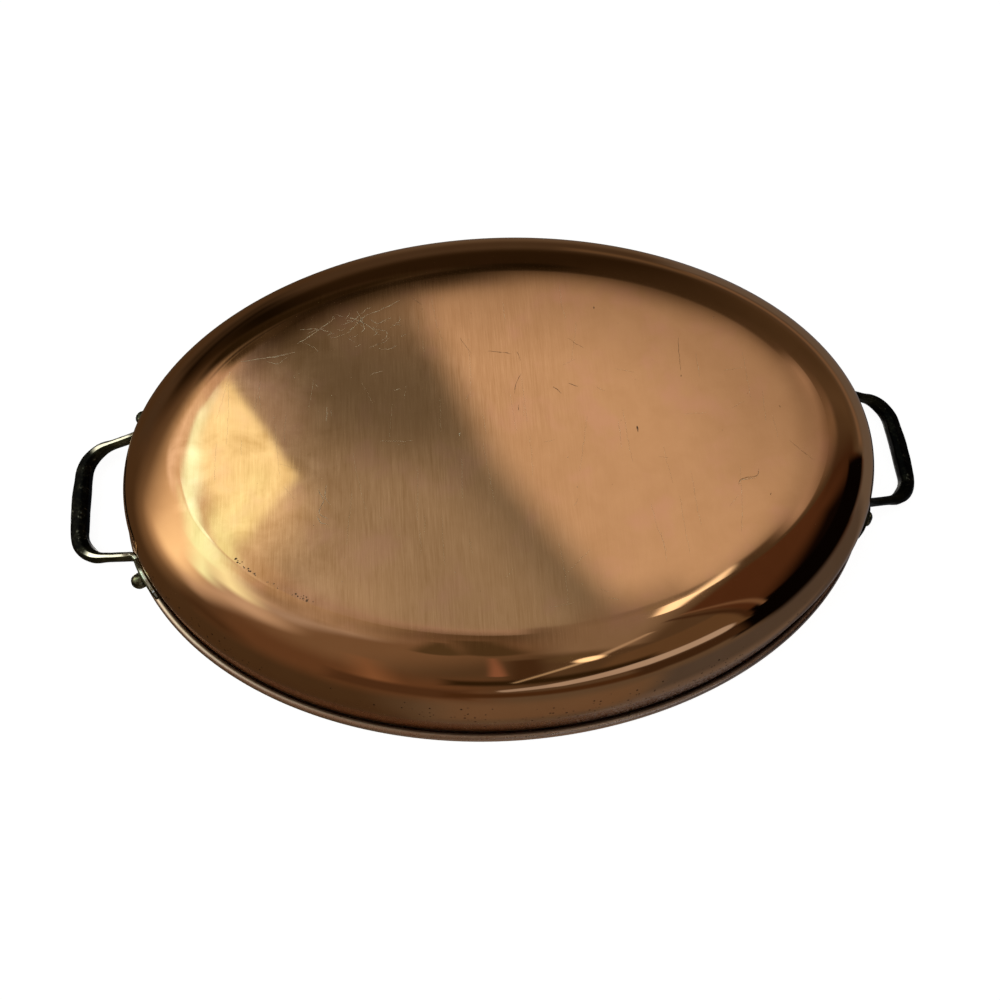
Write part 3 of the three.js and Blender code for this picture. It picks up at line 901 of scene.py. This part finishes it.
panel("rim", (5.4, -22.3, 20.4, 11.9, 4.5, 0.90, 1.05, -6, 44), 10, (0.33, 0.300, 0.27))
panel("cap", (18, -11.4, 22, -12.4, 0.5, 0.6), 1.6, (0.40, 0.37, 0.34))
panel("cap", (10.5, -10.2, 15.5, -11.4, 1.0, 0.7), 1.8, (0.235, 0.215, 0.20))
panel("cap", (-13, -29.5, -10.6, -25.5, 0.8, 1.2), 3.0, (0.42, 0.43, 0.49))
panel("cap", (-13.8, -14.6, -10.0, -19.5, 1.2, 1.0), 2.6, (0.88, 0.93, 0.84))
panel("cap", (-12.4, -29.0, -15.2, -26.0, 0.5, 0.8), 0.6, (0.56, 0.54, 0.56))
panel("poly", ((-12.8, -28.1), (-8.7, -21.6), (-13.5, -16.4), (-19, -12), (-17.5, -20), (-15.0, -25.4)), 0.4, (1.17, 1.40, 1.14))
panel("cap", (-12.5, -19.4, -11.4, -21.4, 0.4, 0.5), 1.4, (1.22, 1.62, 1.28))
panel("cap", (-12.2, -27.7, -10.7, -25.7, 0.25, 0.35), 0.4, (0.42, 0.44, 0.46))
panel("cap", (-12.4, -30.2, -9.8, -31.6, 0.9, 0.7), 0.7, (0.055, 0.045, 0.030))
panel("cap", (-12.9, -19.0, -13.4, -17.6, 0.6, 0.8), 1.4, (1.20, 1.64, 1.30))
panel("cap", (-13.5, -27.3, -15.0, -24.8, 0.12, 0.3), 0.25, (1.18, 1.80, 1.80))
panel("cap", (-15.6, -24.2, -15.7, -17.0, 0.35, 0.5), 0.35, (1.25, 2.10, 2.10))


def soft_step(x):
    x = np.clip(x, 0.0, 1.0)
    return x * x * (3 - 2 * x)


def shape_mask(kind, g, soft, u, v, t, az):
    if kind == "cap":              # a bar from a to b that may widen
        ax, ay, bx, by, r0, r1 = g
        px, py, ex, ey = u - ax, v - ay, bx - ax, by - ay
        h = np.clip((px * ex + py * ey) / (ex * ex + ey * ey), 0, 1)
        d = np.hypot(px - ex * h, py - ey * h) - (r0 + (r1 - r0) * h)
    elif kind == "poly":           # convex
        pts = np.array(g, float)
        c = pts.mean(0)
        d = np.full_like(u, -1e9)
        for i in range(len(pts)):
            a, b = pts[i], pts[(i + 1) % len(pts)]
            n = np.array([b[1] - a[1], a[0] - b[0]])
            n /= np.hypot(*n)
            if np.dot(n, c - a) > 0:
                n = -n
            d = np.maximum(d, (u - a[0]) * n[0] + (v - a[1]) * n[1])
    elif kind == "ell":
        cx, cy, rx, ry, rot = g
        c, s = math.cos(math.radians(rot)), math.sin(math.radians(rot))
        x, y = u - cx, v - cy
        d = (np.hypot((x * c + y * s) / rx, (y * c - x * s) / ry) - 1) * min(rx, ry)
    elif kind == "rim":            # a share of an oval's band, between two radii
        cx, cy, rx, ry, rot, r0, r1, a0, a1 = g
        c, s = math.cos(math.radians(rot)), math.sin(math.radians(rot))
        x, y = u - cx, v - cy
        x, y = (x * c + y * s) / rx, (y * c - x * s) / ry
        w = np.abs((np.degrees(np.arctan2(y, x)) - (a0 + a1) / 2 + 180) % 360 - 180) - (a1 - a0) / 2
        return (soft_step((np.hypot(x, y) - r0) / (r1 - r0)) * soft_step(0.5 - w / (2 * soft)))[..., None]
    else:                          # part of a ring round straight down
        t0, t1, a0, a1 = g
        d = np.maximum(t0 - t, t - t1)
        if a1 - a0 < 360:
            w = np.abs((az - (a0 + a1) / 2 + 180) % 360 - 180) - (a1 - a0) / 2
            d = np.maximum(d, w * np.minimum(t, 90) / 57.3)
    return soft_step(0.5 - d / (2 * soft))[..., None]


def lay(shapes, ground, uvta):
    colour = np.ones(uvta[0].shape + (3,)) * np.array(ground)
    for kind, g, soft, col in shapes:
        k = shape_mask(kind, g, soft, *uvta)
        colour = colour * (1 - k) + np.array(col) * k
    return colour


def room_light(t, az):
    """Brightness of the room in a direction: t degrees from straight down, at azimuth az."""
    u, v = t * np.cos(np.radians(az)), t * np.sin(np.radians(az))
    if PLAIN_LIGHT:
        g = 0.24 + 0.42 * soft_step(0.5 - (0.8 * u - 0.3 * v) / 110.0)
        return g[..., None] * np.array((1.0, 0.985, 0.96))
    uvta = (u, v, t, az)
    k = shape_mask(ELL[0], ELL[1], ELL[2], *uvta)
    return lay(ROOM, BG, uvta) * (1 - k) + lay(PANEL, BGB, uvta) * k


def build_room(radius=60.0):
    """A far-away shell that only lights the pan and is mirrored in it: each corner of its
    fine net carries the light of that direction."""
    ts = np.concatenate([np.arange(0.25, 45, 0.3), np.arange(45, 100, 0.5), np.arange(100, 180, 2.0)])
    azs = np.arange(0, 360, 0.5)
    T, Z = np.meshgrid(ts, azs, indexing="ij")
    tr, zr = np.radians(T), np.radians(Z)
    co = np.stack([np.sin(tr) * np.cos(zr), np.sin(tr) * np.sin(zr), -np.cos(tr)], -1).reshape(-1, 3) * radius
    col = room_light(T, Z).reshape(-1, 3)
    co = np.vstack([co, [[0, 0, -radius], [0, 0, radius]]])
    col = np.vstack([col, room_light(np.array([0.1]), np.array([0.0])), room_light(np.array([179.0]), np.array([0.0]))])
    m, n = len(ts), len(azs)
    i, j = np.meshgrid(np.arange(m - 1), np.arange(n), indexing="ij")
    a = (i * n + j).ravel()
    b = (i * n + (j + 1) % n).ravel()
    quads = np.stack([a, b, b + n, a + n], 1)
    j = np.arange(n)
    low = np.stack([np.full(n, m * n), (j + 1) % n, j], 1)
    top = np.stack([np.full(n, m * n + 1), (m - 1) * n + j, (m - 1) * n + (j + 1) % n], 1)
    loops = np.concatenate([quads.ravel(), low.ravel(), top.ravel()]).astype(np.int32)
    sizes = np.concatenate([np.full(len(quads), 4), np.full(2 * n, 3)]).astype(np.int32)
    starts = np.concatenate([[0], np.cumsum(sizes)[:-1]]).astype(np.int32)
    me = bpy.data.meshes.new("room_shell")
    me.vertices.add(len(co))
    me.vertices.foreach_set("co", co.astype(np.float32).ravel())
    me.loops.add(len(loops))
    me.loops.foreach_set("vertex_index", loops)
    me.polygons.add(len(sizes))
    me.polygons.foreach_set("loop_start", starts)
    me.update(calc_edges=True)
    at = me.color_attributes.new("light", "FLOAT_COLOR", "POINT")
    at.data.foreach_set("color", np.concatenate([col, np.ones((len(col), 1))], 1).astype(np.float32).ravel())
    ob = bpy.data.objects.new("room_shell", me)
    bpy.context.scene.collection.objects.link(ob)
    m = start_material("room_light")
    at, e, out = node("ShaderNodeAttribute", attribute_name="light"), node("ShaderNodeEmission"), node("ShaderNodeOutputMaterial")
    Val.tree.links.new(at.outputs["Color"], e.inputs[0])
    Val.tree.links.new(e.outputs[0], out.inputs[0])
    m.cycles.emission_sampling = "NONE"
    me.materials.append(m)
    ob.visible_camera = False
    ob.visible_shadow = False
    return ob


build_room()
GROUND = 0.985
world = bpy.data.worlds.new("pale")
bpy.context.scene.world = world
world.use_nodes = True
world.node_tree.nodes["Background"].inputs[0].default_value = (GROUND, GROUND, GROUND, 1)

# ============================================================ floor and lamps
def stage_plane(name, z, facing_up, albedo, glow):
    """Pale floor that is seen from one side only: the pan is shown standing on it and, in
    the photograph's view, lying on its rim. It fades into the even ground further out."""
    s = 3.0
    me = bpy.data.meshes.new(name)
    vs = [(-s, -s, z), (s, -s, z), (s, s, z), (-s, s, z)]
    me.from_pydata(vs, [], [(0, 1, 2, 3) if facing_up else (3, 2, 1, 0)])
    ob = bpy.data.objects.new(name, me)
    bpy.context.scene.collection.objects.link(ob)
    m = start_material(name + "_material")
    x, y, _ = split(object_mm())
    far = ramp(vsqrt(x * x + y * y), 260.0, 820.0)
    d, e, t = node("ShaderNodeBsdfDiffuse"), node("ShaderNodeEmission"), node("ShaderNodeBsdfTransparent")
    put(d.inputs[0], blend(far, (albedo,) * 3, (0.0, 0.0, 0.0)))
    # a painted contact shadow: the floor's glow is made dimmer where the pan stands close above it
    painted_contact_shadow = ramp(vsqrt(x * x * (1 / 120.0 ** 2) + y * y * (1 / 74.0 ** 2)), 0.90, 1.45, 1.0, 0.0)
    near = blend(painted_contact_shadow * (0.62 if facing_up else 0.0), (glow,) * 3, (glow * 0.12,) * 3)
    put(e.inputs[0], blend(far, near, (GROUND,) * 3))
    add, mixs, geo, out = node("ShaderNodeAddShader"), node("ShaderNodeMixShader"), node("ShaderNodeNewGeometry"), node("ShaderNodeOutputMaterial")
    L = Val.tree.links.new
    L(d.outputs[0], add.inputs[0])
    L(e.outputs[0], add.inputs[1])
    L(geo.outputs["Backfacing"], mixs.inputs[0])
    L(add.outputs[0], mixs.inputs[1])
    L(t.outputs[0], mixs.inputs[2])
    L(mixs.outputs[0], out.inputs[0])
    m.cycles.emission_sampling = "NONE"
    me.materials.append(m)
    for k in ("visible_diffuse", "visible_glossy", "visible_transmission", "visible_volume_scatter", "visible_shadow"):
        setattr(ob, k, False)
    return ob


def soft_lamp(name, place_at, look_at, w, h, radiance, colour):
    """A rectangular soft box."""
    la = bpy.data.lights.new(name, "AREA")
    la.shape, la.size, la.size_y = "RECTANGLE", w, h
    la.energy = radiance * math.pi * w * h
    la.color = colour
    ob = bpy.data.objects.new(name, la)
    bpy.context.scene.collection.objects.link(ob)
    aim = Vector(look_at) - Vector(place_at)
    ob.matrix_world = Matrix.Translation(place_at) @ aim.to_track_quat("-Z", "Y").to_matrix().to_4x4()
    ob.visible_camera = False
    return ob


lamp_lit = [stage_plane("floor_top", -0.0006, True, 0.62, 0.50),
            stage_plane("floor_under", HEIGHT * 0.001 + 0.0006, False, 0.30, 0.955)]
soft_box = soft_lamp("overhead_soft_box", (-0.55, -0.95, 1.50), (0, 0, 0), 1.5, 1.0, 4.2, (1.0, 0.98, 0.95))

# ============================================================ finishes
def copper_material():
    """Polished copper: straight brush lines and cloudy stains on the base, a clean shoulder,
    tarnish and small pits on the wall, and a duller rolled rim."""
    m = start_material("polished_copper")
    p = object_mm()
    x, y, z = split(p)
    base = 1.0 - ramp(z, 0.02, 0.8)
    wall = ramp(z, 13.0, 27.0)
    rim = ramp(z, HEIGHT - 5.0, HEIGHT - 4.0)
    crease_dirt_and_shade = attribute("seam")

    # brush lines run across the pan
    lean = x + y * 0.018
    fine = noise_tex(vec(lean * 2.1, y * 0.085, 0.0), 1.0, 2.0, 0.65)
    broad = noise_tex(vec(lean * 0.48, y * 0.030, 7.0), 1.0, 2.0, 0.6)
    cloud = noise_tex(p, 0.020, 3.0, 0.55)
    blotch = noise_tex(p, 0.085, 3.0, 0.6, 0.4)
    brushed = base * ramp(vabs(x + 44.0), 92.0, 26.0, 0.10, 1.0) * ramp(cloud, 0.34, 0.62, 0.45, 1.0)

    tone = 0.5 + (fine - 0.5) * brushed * 1.45 + (broad - 0.5) * brushed * 0.70 + (blotch - 0.5) * (0.30 + base * ramp(x, -55.0, -72.0, 0.15, 1.50))
    copper = blend(tone, (0.66, 0.325, 0.135), (1.0, 0.545, 0.275))
    # pinker clouds where the oxide film is thicker
    film = base * ramp(noise_tex(p, 0.045, 3.0, 0.6), 0.50, 0.70) * 0.55
    copper = blend(film, copper, (0.88, 0.43, 0.25))

    # the wall: streaky brown tarnish with small dark pits
    streak = noise_tex(vec(x * 0.11, y * 0.11, z * 0.035), 1.0, 3.0, 0.6)
    mottle = noise_tex(p, 0.55, 2.0, 0.65)
    tarnish = wall * ramp(streak * 0.65 + mottle * 0.35, 0.36, 0.62)
    copper = blend(tarnish * 0.70, copper, (0.74, 0.315, 0.150))
    grey = wall * ramp(x, -10.0, 60.0, 0.25, 1.0) * ramp(mottle * 0.5 + streak * 0.5, 0.30, 0.62, 0.45, 1.0)
    copper = blend(grey * 0.85, copper, (0.46, 0.295, 0.205))
    near, cell = voronoi_both(p, 0.85)
    which, size, _ = split(cell)
    dense = ramp(z, 9.0, 17.0) * (1.0 - rim) * ramp(y, -20.0, 55.0, 0.35, 1.0) * ramp(noise_tex(p, 0.035, 2.0), 0.36, 0.60)
    rotten = ramp(z, 16.0, 27.0) * (1.0 - rim) * ramp(y, 10.0, 60.0) * ramp(x, -20.0, 40.0)
    chance = dense * 0.25 + rotten * 0.70
    pit = ramp(near, size * 0.30 + 0.18, size * 0.30 + 0.05) * ramp(which, 1.0 - chance, 1.03 - chance) * ramp(chance, 0.0, 0.06)
    copper = blend(pit * 0.82, copper, (0.12, 0.055, 0.035))
    # painted highlight: pale speckles among the pits of the wall stand for the glints on the pitted metal
    pit_highlight_painted = rotten * ramp(z, 18.0, 30.0, 0.35, 1.0) * ramp(noise_tex(p, 0.95, 2.0, 0.7), 0.50, 0.60)
    copper = blend(pit_highlight_painted * 0.90, copper, (0.98, 0.86, 0.80))
    # the rolled rim: handled, duller and greyer
    rubbed = ramp(noise_tex(p, 0.16, 3.0, 0.6), 0.35, 0.65)
    copper = blend(rim * (0.95 - 0.20 * rubbed), copper, (0.92, 0.70, 0.56))
    # painted shade with dirt: the crease under the rolled rim is painted near-black, standing for the shade in the gap
    # as well as dirt
    copper = blend(crease_dirt_and_shade * 0.93, copper, (0.060, 0.028, 0.016))

    rough_base = 0.036 + (fine - 0.35) * brushed * 0.07 + ramp(cloud, 0.5, 0.75) * 0.02
    rough = rough_base * base + (1.0 - base) * (0.032 + blotch * 0.012)
    rough = rough + wall * (0.17 + 0.10 * mottle) + pit * 0.25 + rim * 0.02 + crease_dirt_and_shade * 0.3 + pit_highlight_painted * 0.15
    # very shallow relief, in mm: lines, planishing waves, skin of the wall
    wave = noise_tex(p, 0.028, 1.0)
    height = (fine - 0.5) * brushed * 0.0008 + (broad - 0.5) * brushed * 0.0016 + wave * 0.024
    height = height + wall * (mottle * 0.014 + noise_tex(p, 0.13, 1.0) * 0.05)
    principled("copper", 1.0, clamp01(rough), copper, bump(height, 1.0, 1.0), edge=(0.95, 0.78, 0.62))
    return m


def scratch_material():
    m = start_material("scratched_copper")
    p = object_mm()
    n = noise_tex(p, 0.9, 2.0)
    col = blend(ramp(n, 0.3, 0.7), (0.80, 0.49, 0.28), (1.0, 0.80, 0.56))
    principled("scratch", 0.0, 0.55, col)
    return m


def dirt_material():
    m = start_material("dark_marks")
    p = object_mm()
    n = noise_tex(p, 0.8, 2.0)
    col = blend(ramp(n, 0.38, 0.6), (0.20, 0.10, 0.055), (0.55, 0.30, 0.165))
    principled("mark", 0.5, 0.5, col)
    return m


def tin_material():
    """Hand-wiped tin: satin, in long wiping strokes, with cloudy and faintly brown stains."""
    m = start_material("wiped_tin")
    p = object_mm()
    x, y, z = split(p)
    swirl = noise_tex(p, 0.012, 2.0)
    sx_, sy_ = x * 0.96 + y * 0.28 + swirl * 22.0, y * 0.96 - x * 0.28 + swirl * 14.0
    wipe = noise_tex(vec(sx_ * 0.018, sy_ * 0.34, z * 0.25), 1.0, 4.0, 0.62)
    fine = noise_tex(vec(sx_ * 0.07, sy_ * 2.2, z * 1.6), 1.0, 2.0, 0.6)
    cloud = noise_tex(p, 0.026, 4.0, 0.6)
    tone = 0.5 + (wipe - 0.5) * 0.9 + (fine - 0.5) * 0.5 + (cloud - 0.5) * 0.6
    tin = blend(tone, (0.50, 0.485, 0.455), (0.80, 0.785, 0.75))
    stain = ramp(noise_tex(p, 0.033, 5.0, 0.62, 0.6), 0.52, 0.68) * (0.35 + 0.4 * ramp(z, 3.0, 12.0))
    tin = blend(stain * 0.6, tin, (0.44, 0.385, 0.31))
    speck = ramp(voronoi(p, 0.16), 0.10, 0.05) * ramp(noise_tex(p, 0.05), 0.45, 0.6)
    tin = blend(speck * 0.6, tin, (0.20, 0.17, 0.14))
    rough = 0.27 + (wipe - 0.4) * 0.22 + (fine - 0.5) * 0.10 + stain * 0.10
    height = (wipe - 0.5) * 0.035 + (fine - 0.5) * 0.004 + noise_tex(p, 0.05, 2.0) * 0.16
    principled("tin", 1.0, clamp01(rough), tin, bump(height, 1.0, 1.0))
    return m


def handle_material():
    """Cast brass, nearly black with age; the corners have been rubbed back to pale metal, and the narrow undersides of
    the legs and feet carry a painted highlight in pale metal."""
    m = start_material("handle_brass_tarnished")
    p = object_mm()
    x, y, z = split(p)
    edge, leg, under, foot = (attribute(k) for k in ("edge", "leg", "under", "foot"))
    grain = noise_tex(p, 0.9, 4.0, 0.62)
    patch = noise_tex(p, 0.16, 3.0, 0.6)
    olive = blend(ramp(grain * 0.5 + patch * 0.5, 0.44, 0.66), (0.004, 0.004, 0.004), (0.022, 0.021, 0.014))
    olive = blend(vmax(leg, foot) * ramp(patch, 0.35, 0.6, 0.35, 0.80), olive, (0.150, 0.145, 0.075))
    rubbed = edge * ramp(grain, 0.54, 0.70) * ramp(patch, 0.46, 0.62) * (0.16 + 0.45 * leg)
    # painted highlight: the narrow undersides of the legs and feet are painted pale brass; the corner rub in the line
    # above is wear
    rubbed = vmax(rubbed, ramp(under * vmax(leg, foot), 0.10, 0.45) * ramp(grain * 0.6 + patch * 0.4, 0.28, 0.42))
    brass = blend(rubbed, olive, (0.96, 0.93, 0.76))
    rough = 0.50 + (grain - 0.5) * 0.28 - rubbed * 0.32
    height = noise_tex(p, 1.7, 3.0, 0.6) * 0.022 * (1.0 - under * leg) + noise_tex(p, 0.35, 2.0) * 0.07
    principled("brass", 1.0, clamp01(rough), brass, bump(height, 1.0, 1.0))
    return m


def rivet_material():
    """Round brass head, dark olive in the hollows of the hammer marks, paler where rubbed."""
    m = start_material("rivet_brass")
    p = object_mm()
    grain = noise_tex(p, 1.1, 4.0, 0.6)
    dents = voronoi(p, 0.55)
    rubbed = ramp(grain * 0.6 + dents * 0.4, 0.42, 0.66)
    brass = blend(rubbed, (0.040, 0.040, 0.024), (0.27, 0.255, 0.15))
    rough = 0.42 - rubbed * 0.16 + (grain - 0.5) * 0.2
    principled("rivet", 1.0, clamp01(rough), brass, bump(dents * 0.12 + grain * 0.03, 1.0, 1.0))
    return m


M_COPPER, M_SCRATCH, M_DIRT = copper_material(), scratch_material(), dirt_material()
M_TIN, M_HANDLE, M_RIVET = tin_material(), handle_material(), rivet_material()

# ============================================================ pieces in place
def place(ob, node_name):
    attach(ob, "root")
    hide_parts(node_name)
    return ob


shell = place(build_shell([M_COPPER, M_SCRATCH, M_DIRT]), "copper_shell")
lamp_lit.append(place(build_lining([M_TIN]), "tin_lining"))
for side_name, sx, seed in (("left", -1, 4.0), ("right", 1, 17.0)):
    lamp_lit.append(place(build_handle(side_name + "_loop_handle", sx, [M_HANDLE], seed), side_name + "_handle"))
    for end, sy in (("near", 1), ("far", -1)):
        lamp_lit.append(place(build_rivet(f"{side_name}_{end}_rivet_hammered", sx, sy, [M_RIVET], seed + sy),
                              f"{side_name}_{end}_rivet"))

# the soft box lights the lining, the fittings and the floor; the copper is lit by the room alone
lit = bpy.data.collections.new("lit_by_soft_box")
for ob in lamp_lit:
    lit.objects.link(ob)
soft_box.light_linking.receiver_collection = lit
# a low soft box lights the pale-painted undersides of the left handle's legs
low_box = soft_lamp("low_soft_box", (-1.21, -0.35, -0.82), (-0.15, 0, 0.035), 0.9, 0.9, 1.0, (1.0, 0.99, 0.90))
legs_lit = bpy.data.collections.new("lit_by_low_box")
for ob in lamp_lit:
    if ob.name.startswith("left_"):
        legs_lit.objects.link(ob)
low_box.light_linking.receiver_collection = legs_lit

# ============================================================ view
sc = bpy.context.scene
sc.view_settings.view_transform = "Standard"
sc.view_settings.look = "None"
